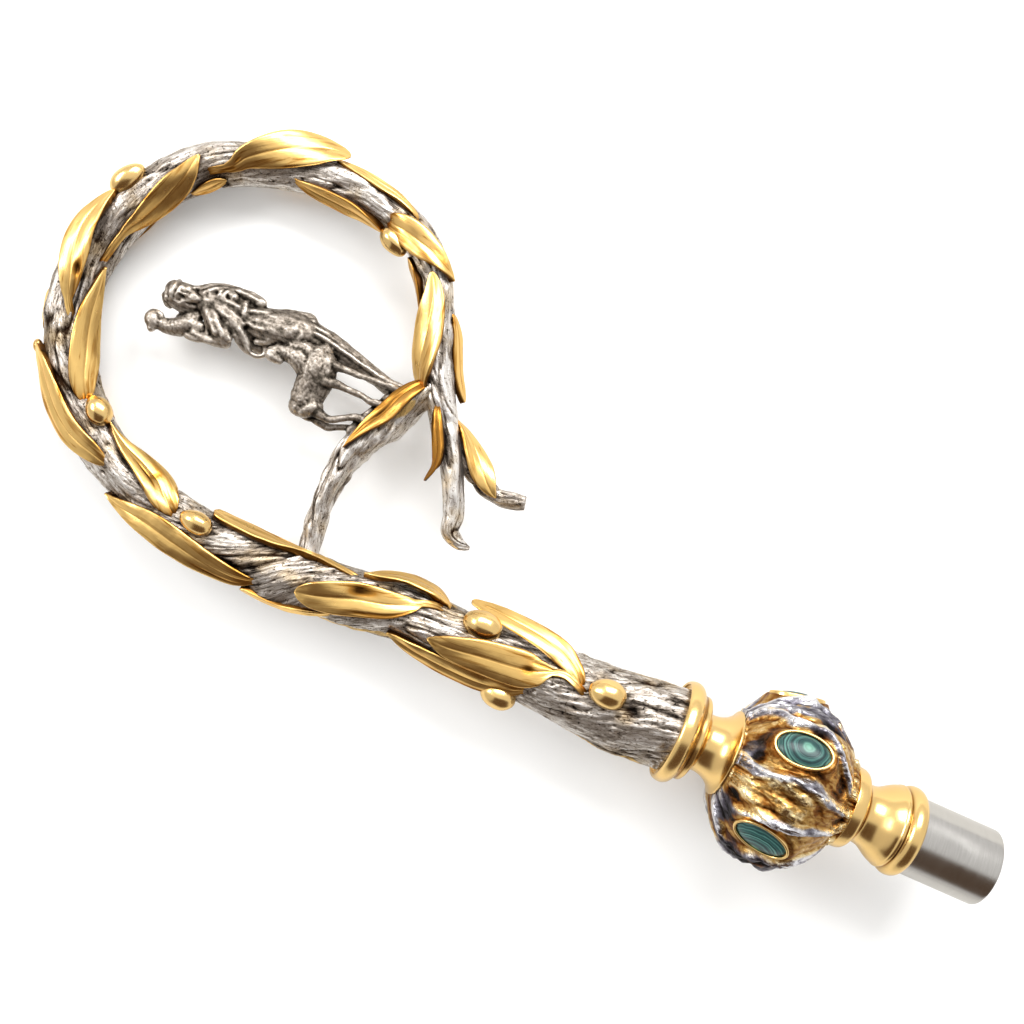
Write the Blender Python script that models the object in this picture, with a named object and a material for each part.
"""Head of a bishop's crozier: a cast olive branch bent into a crook, with gilt leaves and olives, a
shepherd in the loop, a knop with five stones between two turned collars, and a steel ferrule.

The pieces are modelled in the staff's own frame, in millimetres: Y runs up the staff's axis from the open
end of the ferrule, X points towards the loop and Z is the front. An empty then lays the whole head down."""
import math

import bmesh
import bpy
import numpy as np
from mathutils import Euler, Vector

MM = 0.001
GAP = 0.3

# How the head lies: on the knop and on the crook's lower leaves
REST_PITCH = -3.88
REST_ROLL = 0.72

FERRULE_RADIUS = 15.0
FERRULE_BORE = 13.0
FERRULE_LENGTH = 31.0
SOCKET_DEPTH = 26.0

KNOP_CENTRE = 84.0
KNOP_RADIUS = 34.0
KNOP_HALF_HEIGHT = 27.0
KNOP_SQUARENESS = (2.15, 2.4)
KNOP_BOTTOM = 60.0
KNOP_TOP = 107.0

STONES = 5
FIRST_STONE = 30.0
STONE_CENTRE = 87.6
STONE_HALF = (6.1, 10.1)
STONE_SEAT = 28.4
STONE_TOP = 33.2
STONE_TILT = 12.0
BEZEL = 1.0
FRAME_HALF = (9.8, 22.5)

COLLAR_SIDES = 20
# Turned profiles, as (height, radius), with the quarter rounds worked out by turned()
LOWER_COLLAR = [(31.3, 14.6), (31.3, 16.4), (32.6, 17.6), (35.9, 17.6), (37.3, 16.2), (38.2, 15.9), (39.4, 16.3),
                (41.2, 15.7), (43.2, 14.5), (45.3, 13.0), (47.5, 11.7), (50.6, 11.5), (52.6, 12.6), (53.6, 15.6),
                (54.4, 16.6), (58.6, 16.6), (59.7, 15.8)]
UPPER_COLLAR = [(107.3, 16.9), (108.2, 16.2), (109.6, 14.4), (111.6, 12.8), (114.2, 11.7), (117.0, 11.3),
                (119.0, 12.0), (120.0, 14.4), (120.8, 16.4), (123.2, 16.9), (124.6, 19.2), (126.2, 20.2),
                (128.6, 20.2), (130.1, 19.8), (130.7, 19.3), (129.2, 18.8)]

# The branch's middle line and its bark radius: x, y, z, radius
CROOK_LINE = [
    (0.3, 129.5, 0, 16.3), (0.3, 133, 0, 16.3), (-0.5, 142, 0, 16.1), (-2.3, 160, 0, 15.0), (-2.4, 176, 0, 13.4),
    (-2, 198, 0, 12.0),
    (-2.3, 220, 0, 11.4), (-1.2, 242, 0, 11.0), (-3.2, 258, 0, 11.0), (-5.2, 278, 0, 11.0), (-6.6, 300, 0, 10.2),
    (-5.6, 320, 0, 9.6), (-3.4, 338, 0, 9.5), (2.5, 357.5, 0, 9.2), (12.5, 376.5, 0, 9.0), (27, 392.5, 0, 9.0),
    (46, 403.5, 0, 9.2), (70, 407, 0, 9.3), (91, 403.5, 0, 8.9), (110.5, 393, 0, 8.8), (126, 378.5, 0, 8.6),
    (134.5, 358, 0, 8.3), (139, 335, 0, 7.8), (138.5, 314, 0, 7.3), (132.5, 296, 0, 6.8), (120, 282, 0, 6.0),
    (103, 273.5, 0, 5.6), (86, 266.5, 0, 6.2), (72, 257.5, 0, 5.2), (56, 247, 0, 4.4), (41, 240.2, 0, 3.9),
    (34, 238.2, 0, 3.4), (31.6, 233.5, 0, 2.6), (31.9, 229.5, 0, 1.8)]
STRUT_LINE = [(86, 266, 0, 4.5), (76, 271, 0, 6.3), (66, 275.5, 0, 6.3), (56, 281, 0, 6.2), (47, 285.5, 0, 5.8),
              (36, 287.4, 0, 4.9), (25, 287.8, 0, 4.3), (14, 286.3, 0, 4.1), (2, 284.5, 0, 4.0), (-4, 283.5, 0, 4.0)]
TWIG_LINE = [(74, 259, -1, 3.6), (64, 247, -3, 3.7), (57, 236, -4, 3.6), (54.2, 227.5, -4, 3.4),
             (55.6, 220, -3.5, 3.2), (56.4, 216.5, -3.3, 2.6)]

# Leaves: branch, route as (distance along the branch, degrees round it from the front, lift off the bark),
# half width, form, how far the two halves fold up from the midrib, and how far the blade is turned about its
# midrib off the bark's slope. Degrees grow towards the loop's outside. A form is the share of the length that
# is stalk, where along the rest the blade is fullest, and how blunt it is towards its base and its tip (the
# lower, the blunter).
PLAIN = (0.05, 0.45, 0.7, 0.9)
LEAVES = [
    ("crook", [(38, -12, 0.3), (43, -19, 1.6), (48, -24, 2), (53, -20, 2), (59, -10, 2.5), (67, -3, 2.5), (81, 3, 3),
               (93, 10, 3), (100, 13, 2.5)], 7.2, (0.32, 0.42, 1.5, 0.7), 0.1, 0),
    ("crook", [(58, 30, 0.5), (68, 40, 2.5), (78, 46, 3), (93, 46, 3), (104, 46, 3), (116, 40, 2)],
     4.4, (0.02, 0.45, 0.5, 0.7), 0.1, 10),
    ("crook", [(40, -18, 0.5), (46, -40, 2), (52, -51, 3.5), (60, -60, 4.5), (73, -70, 5), (83, -80, 5), (91, -82, 5)],
     4.7, (0.0, 0.45, 0.5, 0.35), 0.1, -28),
    ("crook", [(99, -58, 0.5), (107, -38, 1.5), (111, -23, 2), (118, -11, 2.5), (129, -6, 3), (138, 3, 3),
               (147, 11, 3), (153, 15, 2.5)], 6.6, (0.05, 0.6, 0.9, 0.5), 0.3, 0),
    ("crook", [(97, -72, 0.5), (106, -74, 3), (115, -72, 3.5), (131, -54, 2.5)], 5.0, (0.05, 0.45, 0.6, 0.9), 0.2, 0),
    ("crook", [(137, 44, 0.5), (148, 52, 2.5), (160, 62, 3), (173, 60, 2.5)], 1.6, (0.0, 0.5, 0.3, 0.3), 0.1, 0),
    ("crook", [(130, -50, 0.3), (144, -60, 1.5), (154, -62, 2.5), (167, -62, 3), (180, -64, 3), (195, -63, 3)],
     3.8, (0.15, 0.75, 0.8, 0.25), 0.1, 0),
    ("crook", [(167, 34, 0.3), (176, 40, 2), (190, 37, 3), (201, 31, 3), (210, 29, 3), (218, 34, 3), (226, 48, 2.5),
               (232, 58, 2)], 5.8, (0.04, 0.45, 0.5, 0.9), 0.1, 12),
    ("crook", [(207, -14, 0.5), (214, -32, 1.5), (222, -47, 2.5), (230, -50, 3), (240, -48, 3), (253, -52, 2.5)],
     6.4, (0.0, 0.35, 0.6, 1.0), 0.4, 0),
    ("crook", [(237, 4, 0.5), (246, 15, 1.5), (255, 29, 2.5), (264, 37, 2.5), (272, 38, 2.5), (280, 42, 2.5),
               (289, 66, 2.5)], 5.4, (0.03, 0.45, 0.5, 0.7), 0.1, 8),
    ("crook", [(264, -30, 0.5), (274, -40, 2), (283, -49, 3), (293, -55, 3), (303, -58, 3.5), (312, -59, 2.5),
               (323, -58, 1.5)], 6.2, (0.0, 0.4, 0.5, 0.8), 0.1, 0),
    ("crook", [(297, -29, 0.5), (305, -11, 1.5), (315, -1, 3), (324, 10, 3.5), (332, 20, 3.5), (340, 26, 3),
               (349, 33, 2)], 6.0, (0.12, 0.5, 0.8, 0.7), 0.2, 0),
    ("crook", [(323, -52, 0.5), (332, -48, 2), (341, -47, 2.5), (349, -50, 3), (358, -46, 3), (367, -35, 3),
               (374, -22, 3), (382, 6, 2.5)], 5.6, (0.1, 0.62, 0.9, 0.7), 0.1, 0),
    ("crook", [(371, -78, 0.5), (380, -70, 1.5), (390, -58, 1)], 3.0, (0.05, 0.5, 0.6, 0.6), 0.1, 0),
    ("crook", [(382, -34, 0.5), (392, -26, 2), (400, -4, 3.5), (408, 11, 4), (415, 25, 4), (422, 40, 4), (428, 52, 4),
               (435, 62, 4)], 7.4, (0.06, 0.6, 0.6, 0.5), 0.1, 22),
    ("crook", [(416, -40, 0.5), (427, -50, 2.5), (437, -56, 3), (447, -62, 3), (459, -78, 2)],
     3.8, (0.03, 0.5, 0.6, 0.5), 0.2, 0),
    ("crook", [(467, 44, 0.5), (457, 40, 1.5), (449, 37, 1.5), (441, 42, 1.5), (431, 50, 1.5)],
     2.3, (0.0, 0.5, 0.5, 0.5), 0.1, 0),
    ("crook", [(458, -36, 0.5), (466, -20, 2.5), (474, -4, 3), (480, 12, 3.5), (486, 30, 3.5), (491, 50, 3)],
     5.8, (0.0, 0.35, 0.5, 0.9), 0.2, 0),
    ("crook", [(533, -76, 0.5), (526, -58, 2), (518, -40, 3), (508, -27, 2.6), (498, -14, 2.6), (486, -6, 2)],
     6.6, (0.02, 0.5, 0.5, 0.6), 0.2, 0),
    ("crook", [(510, -84, 0.5), (498, -86, 3), (486, -82, 3), (476, -66, 1.5)], 3.6, (0.0, 0.5, 0.6, 0.6), 0.1, 0),
    ("crook", [(500, 75, 0.5), (511, 90, 2), (523, 95, 2.5), (537, 92, 3.5)], 3.6, (0.0, 0.5, 0.6, 0.5), 0.1, 0),
    ("crook", [(536, -16, 0.5), (545, -26, 2), (554, -36, 3), (560, -58, 4), (565, -84, 7)],
     2.6, (0.0, 0.4, 0.5, 0.7), 0.1, 0),
    ("strut", [(4, -24, 0.5), (16, -23, 2.5), (25, -18, 3), (33, -20, 3), (44, -18, 2.5)],
     4.0, (0.0, 0.4, 0.4, 0.9), 0.3, 0),
    ("twig", [(1, 80, 0.5), (10, 66, 2.5), (20, 46, 3), (29, 20, 3), (38, -8, 2.5)], 5.0, (0.05, 0.55, 0.7, 0.7), 0.1, 10),
    # the back, plainer
    ("crook", [(58, 170, 0.5), (78, 178, 2), (102, 186, 2.5)], 7.0, PLAIN, 0.1, 0),
    ("crook", [(142, 170, 0.5), (160, 182, 2), (182, 190, 2.5)], 6.5, PLAIN, 0.1, 0),
    ("crook", [(246, 196, 0.5), (264, 186, 2), (288, 170, 2.5)], 6.5, PLAIN, 0.1, 0),
    ("crook", [(324, 170, 0.5), (344, 184, 2), (366, 196, 2.5)], 6.5, PLAIN, 0.1, 0),
    ("crook", [(402, 186, 0.5), (420, 176, 2), (442, 164, 2.5)], 6.0, PLAIN, 0.1, 0),
    ("crook", [(474, 170, 0.5), (492, 180, 2), (512, 192, 2.5)], 5.0, PLAIN, 0.1, 0),
]
LEAF_STATIONS = 6

# Olives: distance along the branch, degrees round it, lift of the middle, radius, half length
OLIVES = [(30.5, -21, 2.5, 5.5, 7.3), (67, 62, 2.0, 5.2, 7.0), (83, -51, 1.0, 5.6, 7.8),
          (197.5, -22, 2.5, 4.2, 6.6), (258, -42, 2.5, 4.8, 6.0), (354.5, 43, 1.0, 4.4, 7.6),
          (466.5, -64, 2.6, 4.0, 6.4)]
# Burls and stubs of cut twigs, in the same terms
BURLS = [(22, 70, -4.5, 6.2, 8.0), (162, 60, -1.5, 5.0, 9.0), (230, 150, -1.5, 4.5, 7.0), (300, 40, -1.5, 4.5, 6.0),
         (408, 20, -1.0, 5.0, 6.0), (455, -160, -1.5, 4.0, 6.0)]

# The shepherd and the sheep: limbs as runs of (x, y, z, radius)
LIMBS = [
    # robe from chest to hem
    [(77.5, 360, 0, 5.4), (77.5, 352, 0, 7.0), (78, 343, 0, 5.8), (78.5, 336, 0, 7.6), (80, 324, 0.5, 8.8),
     (81, 317, 0.5, 6.6)],
    # the two legs
    [(81.5, 324, 0, 6.0), (81.5, 310, 0, 4.6), (79.8, 297, 0, 3.2), (78, 284, 0, 2.4), (77, 276, 0, 2.8)],
    [(76, 326, -1, 5.2), (76, 312, -2, 4.2), (75.5, 298, -3, 2.8), (73.5, 286, -3, 2.2), (72, 277, -3, 2.6)],
    # neck and head with its hair
    [(76, 356, 0, 4.8), (75.6, 363, 0.5, 3.8), (75.5, 366, 1, 4.6), (75.3, 370.5, 1, 5.2), (75.2, 375, 0.5, 3.8)],
    [(78.5, 370, -1.5, 3.6), (80.5, 364, -1.5, 3.2), (82, 360, -1, 3.0)],
    # the hanging arm, and the arm across the chest
    [(82, 361, 0, 3.4), (84, 354, 1, 3.8), (84.3, 346, 2, 3.8), (82.5, 339, 4, 2.6)],
    [(73.5, 358, 1, 4.0), (69.5, 352, 3, 3.8), (66.5, 346, 4, 3.2), (72, 343, 6.5, 2.6)],
    # the cloak's falling edge
    [(74.5, 353, 3, 3.4), (70.5, 345, 4, 4.2), (67.8, 337, 4, 3.8), (66.8, 331, 3, 2.6)],
    # the lamb held at the raised side: haunch, back, neck and head
    [(65.5, 350, 2, 3.4), (63.5, 358, 1.5, 4.2), (62, 365, 1, 3.8), (61, 371, 1, 3.6), (62.5, 375.5, 1.5, 3.0)],
    [(72, 357, 0, 2.6), (68, 362, 0, 2.6), (65.5, 367, 0.5, 2.2), (63.5, 371, 1, 2.0)],
    # the sheep: trunk, neck and head
    [(54, 309, 3, 3.8), (57, 309.5, 3, 6.2), (64, 309, 3, 6.4), (71, 308.5, 3, 6.2), (75, 308, 3, 4.6)],
    [(69, 312, 3.5, 5.0), (68.6, 320, 4.5, 4.4), (67.8, 327, 5.5, 3.6), (65, 327.5, 7.5, 2.4)],
    # its four legs
    [(54.5, 307, 4.5, 4.0), (51.8, 300, 4.5, 2.1), (54.5, 292, 4.5, 1.7), (56, 283.5, 4, 2.0)],
    [(58, 306, 1, 3.6), (57, 299, 0.5, 2.1), (60, 292, 0.5, 1.7), (61, 281, 0.5, 2.0)],
    [(67, 306, 5.5, 3.0), (67.4, 296, 5.5, 1.8), (67.2, 287, 5, 1.6), (67, 277, 4, 2.0)],
    [(73.5, 305, 5, 3.0), (74.6, 294, 5, 1.8), (74.8, 285, 4.6, 1.6), (74.4, 276, 3.6, 2.0)],
]


def smooth(points, steps):
    """Points on a cubic through the given ones, whose slope at each is the mean of its two chords' slopes."""
    points = np.asarray(points, float)
    run = np.vstack([2 * points[0] - points[1], points, 2 * points[-1] - points[-2]])
    t = np.linspace(0, 1, steps, endpoint=False)[:, None]
    found = []
    for before, start, end, after in zip(run, run[1:], run[2:], run[3:]):
        chords = [np.linalg.norm(b - a) for a, b in ((before, start), (start, end), (end, after))]
        leave = 0.5 * ((start - before) / chords[0] * chords[1] + end - start)
        arrive = 0.5 * (end - start + (after - end) / chords[2] * chords[1])
        found.append(start * (2 * t**3 - 3 * t**2 + 1) + leave * (t**3 - 2 * t**2 + t)
                     + end * (3 * t**2 - 2 * t**3) + arrive * (t**3 - t**2))
    return np.vstack(found + [points[-1:]])


class Branch:
    """A bough along a smooth line, with its radius at each point."""

    def __init__(self, stations, extra=0.0):
        self.run = smooth(stations, 30)
        self.run[:, 3] += extra
        steps = np.linalg.norm(np.diff(self.run[:, :3], axis=0), axis=1)
        self.distance = np.r_[0, np.cumsum(steps)]
        self.length = self.distance[-1]

    def point(self, s):
        """Middle point and radius at distance s."""
        found = np.stack([np.interp(s, self.distance, self.run[:, k]) for k in range(4)], axis=-1)
        return found[..., :3], found[..., 3]

    def frame(self, s):
        """Middle point, radius, direction, sideways normal (to the loop's outside) and front normal."""
        middle, radius = self.point(s)
        step = self.point(np.minimum(s + 1.0, self.length))[0] - self.point(np.maximum(s - 1.0, 0))[0]
        along = step / np.linalg.norm(step, axis=-1, keepdims=True)
        out = np.stack([-along[..., 1], along[..., 0], 0 * along[..., 0]], axis=-1)
        out /= np.linalg.norm(out, axis=-1, keepdims=True)
        return middle, radius, along, out, np.cross(along, out)

    def on(self, s, degrees, lift):
        """Point over the bark, and the bark's outward normal there."""
        middle, radius, _, out, front = self.frame(s)
        angle = np.radians(degrees)[..., None]
        normal = np.cos(angle) * front + np.sin(angle) * out
        return middle + (radius + lift)[..., None] * normal, normal


def closed_rings(rings):
    """Vertices and faces of a closed solid through equal rings of points, capped at both ends."""
    count, sides = rings.shape[:2]
    faces = []
    for i in range(count - 1):
        for j in range(sides):
            k = (j + 1) % sides
            faces.append((i * sides + j, i * sides + k, (i + 1) * sides + k, (i + 1) * sides + j))
    faces.append(tuple(range(sides))[::-1])
    faces.append(tuple((count - 1) * sides + j for j in range(sides)))
    return rings.reshape(-1, 3), faces


def joined(shells):
    """One vertex and face list from several."""
    points, faces = [], []
    for shell_points, shell_faces in shells:
        start = sum(len(p) for p in points)
        points.append(shell_points)
        faces += [tuple(start + k for k in face) for face in shell_faces]
    return np.vstack(points), faces


def bough(branch, rings, sides, relief):
    """The bark: rings round the branch, raised by two slow waves that run along it."""
    s = np.linspace(0, branch.length, rings)
    middle, radius, _, out, front = branch.frame(s)
    angle = np.linspace(0, 2 * math.pi, sides, endpoint=False)
    wave = 1 + relief * (np.cos(3 * angle + s[:, None] / 9) + 0.6 * np.cos(5 * angle - s[:, None] / 13))
    spoke = np.cos(angle)[None, :, None] * front[:, None] + np.sin(angle)[None, :, None] * out[:, None]
    return closed_rings(middle[:, None] + (radius[:, None] * wave)[..., None] * spoke)


def blade_width(t, half_width, form):
    """Half the blade's width along it: an even stalk, then a power of a sine, bent so that it is fullest at
    the form's place."""
    stalk, fullest, base, tip = form
    v = np.clip((t - stalk) / (1 - stalk), 0, 1) ** (math.log(0.5) / math.log(fullest))
    return half_width * np.maximum(np.sin(math.pi * v) ** np.where(v < 0.5, base, tip), 0.16)


def leaf(branch, route, half_width, form, fold, turn, extra=0.0):
    """A pointed blade along its route: the upper side follows the bark and folds up from the midrib, and
    the lower side reaches into the bark wherever the blade lies close to it."""
    path = smooth(route, 12)
    t = np.linspace(0, 1, LEAF_STATIONS)
    s, degrees, lift = (np.interp(t, np.linspace(0, 1, len(path)), path[:, k]) for k in range(3))
    rib, normal = branch.on(s, degrees, lift + extra)
    along = np.gradient(rib, axis=0)
    along /= np.linalg.norm(along, axis=1, keepdims=True)
    normal -= along * (normal * along).sum(1, keepdims=True)
    normal /= np.linalg.norm(normal, axis=1, keepdims=True)
    side = np.cross(normal, along)
    roll = np.radians(turn) * np.minimum(1, 3 * t)[:, None]
    normal, side = normal * np.cos(roll) - side * np.sin(roll), side * np.cos(roll) + normal * np.sin(roll)
    width = blade_width(t, half_width + extra, form)
    near = np.clip((4.0 - lift) / 1.5, 0, 1)
    depth = 1.6 + extra + (lift + 0.2) * near
    bark = branch.point(s)[1] + lift
    rings = []
    for u, under in ((1, 0.35), (0, 0), (-1, 0.35), (-0.5, 1), (0.5, 1)):
        across = u * width
        rise = fold * abs(u) * width - across**2 / (2.4 * bark) - under * depth
        rings.append(rib + side * across[:, None] + normal * rise[:, None])
    return closed_rings(np.stack(rings, axis=1))


def lump(branch, s, degrees, lift, radius, half_length):
    """An ellipsoid along the branch, for an olive or a burl: rings from pole to pole."""
    centre, normal = branch.on(np.float64(s), np.float64(degrees), np.float64(lift))
    along = branch.frame(np.float64(s))[2]
    side = np.cross(normal, along)
    rings = []
    for a in np.linspace(0.25, math.pi - 0.25, 5):
        b = np.linspace(0, 2 * math.pi, 6, endpoint=False)[:, None]
        rings.append(centre - along * half_length * math.cos(a)
                     + radius * math.sin(a) * (np.cos(b) * normal - np.sin(b) * side))
    return closed_rings(np.array(rings))


def limb(stations):
    """A soft tube through spheres of the given radii, with rounded ends."""
    run = np.array(stations, float)
    middle, radius = run[:, :3], run[:, 3]
    along = np.gradient(middle, axis=0)
    along /= np.linalg.norm(along, axis=1, keepdims=True)
    across = np.cross(along, (0.3, 0.2, 1.0))
    across /= np.linalg.norm(across, axis=1, keepdims=True)
    other = np.cross(along, across)
    ends = [middle[0] - along[0] * radius[0] * 0.7, middle[-1] + along[-1] * radius[-1] * 0.7]
    middle = np.vstack([ends[0], middle, ends[1]])
    radius = np.r_[radius[0] * 0.45, radius, radius[-1] * 0.45]
    across = np.vstack([across[:1], across, across[-1:]])
    other = np.vstack([other[:1], other, other[-1:]])
    angle = np.linspace(0, 2 * math.pi, 7, endpoint=False)
    spoke = np.cos(angle)[None, :, None] * across[:, None] + np.sin(angle)[None, :, None] * other[:, None]
    return closed_rings(middle[:, None] + radius[:, None, None] * spoke)


def knop_shell():
    """The knop as radii over height and angle: five almond frames, each sunk inside raised ribs, with bark
    panels between them."""
    heights = KNOP_CENTRE + KNOP_HALF_HEIGHT * np.sin(np.linspace(
        math.asin((KNOP_BOTTOM - KNOP_CENTRE) / KNOP_HALF_HEIGHT),
        math.asin((KNOP_TOP - KNOP_CENTRE) / KNOP_HALF_HEIGHT), 11))
    sides = 50
    rings = []
    for y in heights:
        level = abs(y - KNOP_CENTRE) / KNOP_HALF_HEIGHT
        power = KNOP_SQUARENESS[int(y > KNOP_CENTRE)]
        body = KNOP_RADIUS * (1 - level**power) ** (1 / power)
        degrees = np.arange(sides) * 360 / sides + FIRST_STONE
        turn = (degrees - FIRST_STONE + 180 / STONES) % (360 / STONES) - 180 / STONES
        across = np.radians(turn) * body
        frame = FRAME_HALF[0] * np.sqrt(np.clip(1 - ((y - STONE_CENTRE + 2.6) / FRAME_HALF[1]) ** 2, 0, 1))
        away = np.abs(across) - frame
        rib = np.exp(-((away - 1.2) / 2.2) ** 2)
        sunk = np.clip(1 - away / 1.5, 0, 1) * (frame > 0)
        edge = min(1.0, (KNOP_HALF_HEIGHT - abs(y - KNOP_CENTRE)) / 8)
        panel = np.clip(away / 5.0 - 0.3, 0, 1)
        radius = body + edge * (1.0 * rib + 1.2 * panel - 2.0 * sunk)
        angle = np.radians(degrees)
        rings.append(np.stack([radius * np.sin(angle), np.full(sides, y), radius * np.cos(angle)], axis=1))
    return closed_rings(np.array(rings))


def oval_boss(degrees, half, inner, outer, rise=0.0, sides=12):
    """An oval boss that stands out of the knop, tilted up to face as the knop's side does, from one radius
    to another, domed by rise."""
    angle = np.linspace(0, 2 * math.pi, sides, endpoint=False)
    if rise:
        dome = np.linspace(0, math.radians(75), 3)
        levels = [(inner, 1.0)] + [(outer - rise * (1 - math.sin(a)), math.cos(a)) for a in dome]
    else:
        levels = [(inner, 1.0), (outer, 1.0)]
    turn, tilt = math.radians(degrees), math.radians(STONE_TILT)
    axis = np.array((0, 1, 0))
    level = np.array((math.sin(turn), 0, math.cos(turn)))
    sideways = np.array((math.cos(turn), 0, -math.sin(turn)))
    forward = level * math.cos(tilt) + axis * math.sin(tilt)
    upward = axis * math.cos(tilt) - level * math.sin(tilt)
    centre = level * STONE_SEAT + axis * STONE_CENTRE
    rings = []
    for radius, scale in levels:
        rings.append(centre + forward * (radius - STONE_SEAT)
                     + sideways * (half[0] * scale * np.cos(angle))[:, None]
                     + upward * (half[1] * scale * np.sin(angle))[:, None])
    return closed_rings(np.array(rings))


def material(name, colour, roughness, metallic):
    """A plain Principled material."""
    found = bpy.data.materials.new(name)
    found.use_nodes = True
    shader = found.node_tree.nodes["Principled BSDF"]
    shader.inputs["Base Color"].default_value = (*colour, 1)
    shader.inputs["Roughness"].default_value = roughness
    shader.inputs["Metallic"].default_value = metallic
    return found


def piece(name, shell, finish, rest, cutter=False):
    """An object in the staff's frame, under the empty that lays the head down."""
    points, faces = shell
    mesh = bpy.data.meshes.new(name)
    mesh.from_pydata([tuple(p * MM) for p in np.asarray(points)], [], faces)
    work = bmesh.new()
    work.from_mesh(mesh)
    bmesh.ops.recalc_face_normals(work, faces=work.faces)
    work.to_mesh(mesh)
    work.free()
    mesh.shade_smooth()
    mesh.set_sharp_from_angle(angle=math.radians(40))
    found = bpy.data.objects.new(name, mesh)
    bpy.context.scene.collection.objects.link(found)
    found.parent = rest
    if cutter:
        found.hide_render = True
        found.display_type = "WIRE"
    else:
        mesh.materials.append(finish)
    return found


def boolean(target, cutter, operation):
    """An exact Boolean that also joins the cutter's own overlapping shells."""
    change = target.modifiers.new(cutter.name, "BOOLEAN")
    change.operation = operation
    change.object = cutter
    change.solver = "EXACT"
    change.use_self = True


def turned(name, profile, finish, rest):
    """A turned collar: its half section spun about the staff's axis."""
    points = smooth([(y, r) for y, r in profile], 1)
    rings = []
    for y, radius in points:
        angle = np.linspace(0, 2 * math.pi, COLLAR_SIDES, endpoint=False)
        rings.append(np.stack([radius * np.sin(angle), np.full(COLLAR_SIDES, y), radius * np.cos(angle)], axis=1))
    return piece(name, closed_rings(np.array(rings)), finish, rest)


def ferrule(finish, rest):
    """The steel tube with its socket, open at the end that the staff goes into."""
    section = [(0, FERRULE_BORE), (0, FERRULE_RADIUS), (FERRULE_LENGTH, FERRULE_RADIUS), (FERRULE_LENGTH, 2.0),
               (SOCKET_DEPTH, 2.0), (SOCKET_DEPTH, FERRULE_BORE)]
    work = bmesh.new()
    corners = [work.verts.new((radius * MM, y * MM, 0)) for y, radius in section]
    for a, b in zip(corners, corners[1:] + corners[:1]):
        work.edges.new((a, b))
    bmesh.ops.spin(work, geom=work.verts[:] + work.edges[:], axis=(0, 1, 0), cent=(0, 0, 0),
                   angle=2 * math.pi, steps=24, use_merge=True)
    bmesh.ops.recalc_face_normals(work, faces=work.faces)
    mesh = bpy.data.meshes.new("steel_ferrule")
    work.to_mesh(mesh)
    work.free()
    mesh.shade_smooth()
    mesh.set_sharp_from_angle(angle=math.radians(40))
    mesh.materials.append(finish)
    found = bpy.data.objects.new("steel_ferrule", mesh)
    bpy.context.scene.collection.objects.link(found)
    found.parent = rest
    return found


def crook(branches, finish, rest):
    """The cast branch, with its strut, twig, burls, leaves and olives in one solid."""
    main = branches["crook"]
    base = piece("crook", bough(main, 38, 10, 0.05), finish, rest)
    parts = [bough(branches["strut"], 11, 9, 0.04), bough(branches["twig"], 7, 7, 0.04)]
    parts += [leaf(branches[where], *row) for where, *row in LEAVES]
    parts += [lump(main, *olive) for olive in OLIVES]
    parts += [lump(main, *burl) for burl in BURLS]
    boolean(base, piece("crook_growth", joined(parts), None, rest, cutter=True), "UNION")
    return base


def shepherd(finish, rest):
    """The figure with its sheep, cut clear of the strut and the leaf that it stands on."""
    first, others = limb(LIMBS[0]), [limb(run) for run in LIMBS[1:]]
    figure = piece("good_shepherd", first, finish, rest)
    boolean(figure, piece("shepherd_limbs", joined(others), None, rest, cutter=True), "UNION")
    ground = Branch(STRUT_LINE, 0.0)
    strut = bough(Branch(STRUT_LINE, GAP + 0.1), 11, 9, 0.04)
    leaves = [leaf(ground, *row, GAP) for where, *row in LEAVES if where == "strut"]
    boolean(figure, piece("shepherd_footing", joined([strut] + leaves), None, rest, cutter=True), "DIFFERENCE")
    return figure


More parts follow.
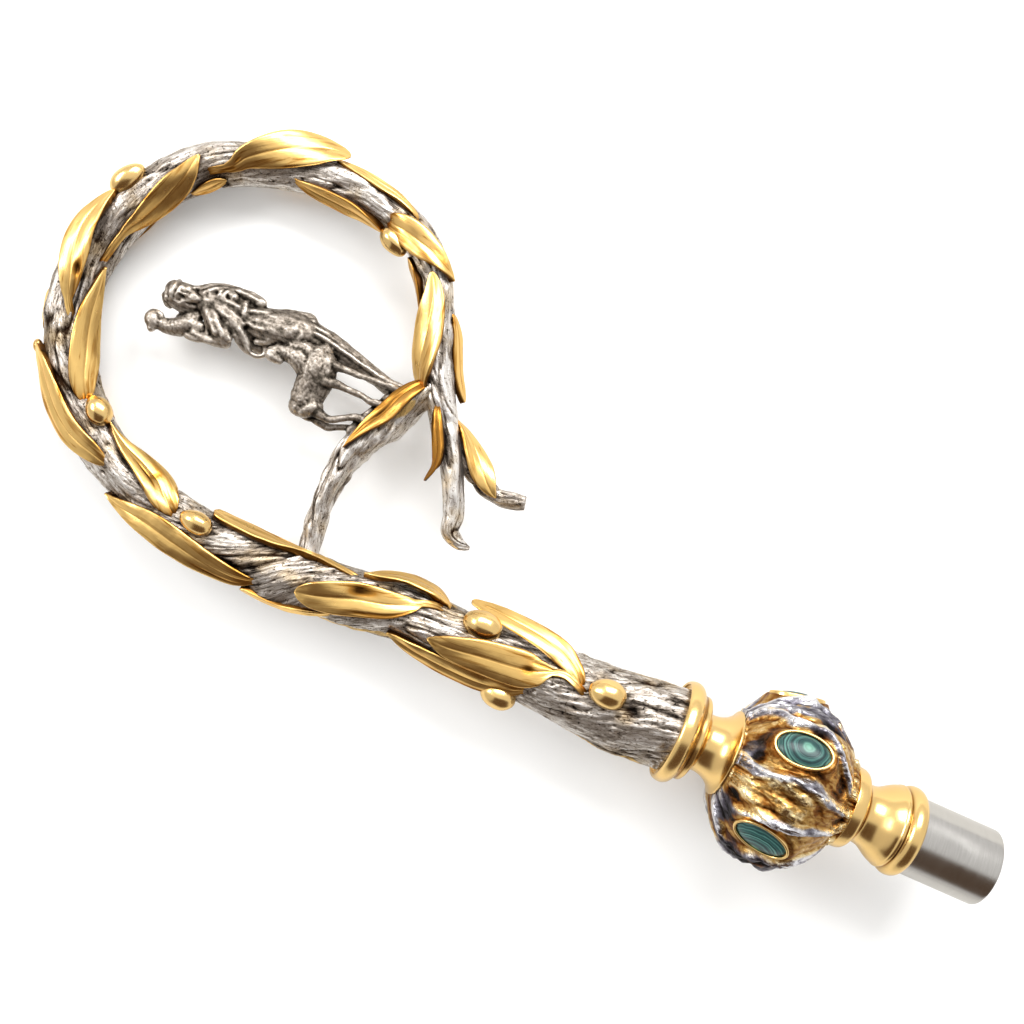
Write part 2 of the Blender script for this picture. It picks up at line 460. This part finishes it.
def knop(finish, rest):
    """The knop with a gilt bezel and a pocket for each stone."""
    body = piece("knop", knop_shell(), finish, rest)
    bezels, pockets = [], []
    for k in range(STONES):
        turn = FIRST_STONE + k * 360 / STONES
        wide = [half + GAP + BEZEL for half in STONE_HALF]
        snug = [half + GAP for half in STONE_HALF]
        bezels.append(oval_boss(turn, wide, STONE_SEAT - 6, STONE_SEAT + 3.0))
        pockets.append(oval_boss(turn, snug, STONE_SEAT - GAP, STONE_SEAT + 9))
    boolean(body, piece("bezels", joined(bezels), None, rest, cutter=True), "UNION")
    boolean(body, piece("pockets", joined(pockets), None, rest, cutter=True), "DIFFERENCE")
    return body


def lay_down(rest):
    """Set the head on the ground, with its box's bottom middle at the origin."""
    rest.rotation_euler = Euler((math.radians(REST_PITCH), math.radians(REST_ROLL), 0))
    bpy.context.view_layer.update()
    graph = bpy.context.evaluated_depsgraph_get()
    low, high = Vector((1e9, 1e9, 1e9)), Vector((-1e9, -1e9, -1e9))
    for child in rest.children:
        if child.hide_render:
            continue
        shown = child.evaluated_get(graph)
        for vertex in shown.data.vertices:
            place = shown.matrix_world @ vertex.co
            for k in range(3):
                low[k], high[k] = min(low[k], place[k]), max(high[k], place[k])
    rest.location = (-(low.x + high.x) / 2, -(low.y + high.y) / 2, -low.z)
    bpy.context.view_layer.update()


def main():
    for thing in list(bpy.data.objects):
        bpy.data.objects.remove(thing)
    rest = bpy.data.objects.new("rest", None)
    bpy.context.scene.collection.objects.link(rest)
    silver = material("antiqued silver", (0.52, 0.50, 0.48), 0.34, 1.0)
    dark_silver = material("darkened silver", (0.33, 0.32, 0.31), 0.40, 1.0)
    gilt = material("polished gilt", (0.80, 0.55, 0.20), 0.12, 1.0)
    steel = material("brushed steel", (0.56, 0.55, 0.53), 0.32, 1.0)
    malachite = material("malachite", (0.03, 0.16, 0.12), 0.12, 0.0)
    branches = {"crook": Branch(CROOK_LINE), "strut": Branch(STRUT_LINE), "twig": Branch(TWIG_LINE)}
    ferrule(steel, rest)
    turned("lower_collar", LOWER_COLLAR, gilt, rest)
    knop(gilt, rest)
    turned("upper_collar", UPPER_COLLAR, gilt, rest)
    crook(branches, silver, rest)
    shepherd(dark_silver, rest)
    for k in range(STONES):
        turn = FIRST_STONE + k * 360 / STONES
        piece(f"cabochon_{k + 1}", oval_boss(turn, STONE_HALF, STONE_SEAT, STONE_TOP, 3.6), malachite, rest)
    lay_down(rest)


main()
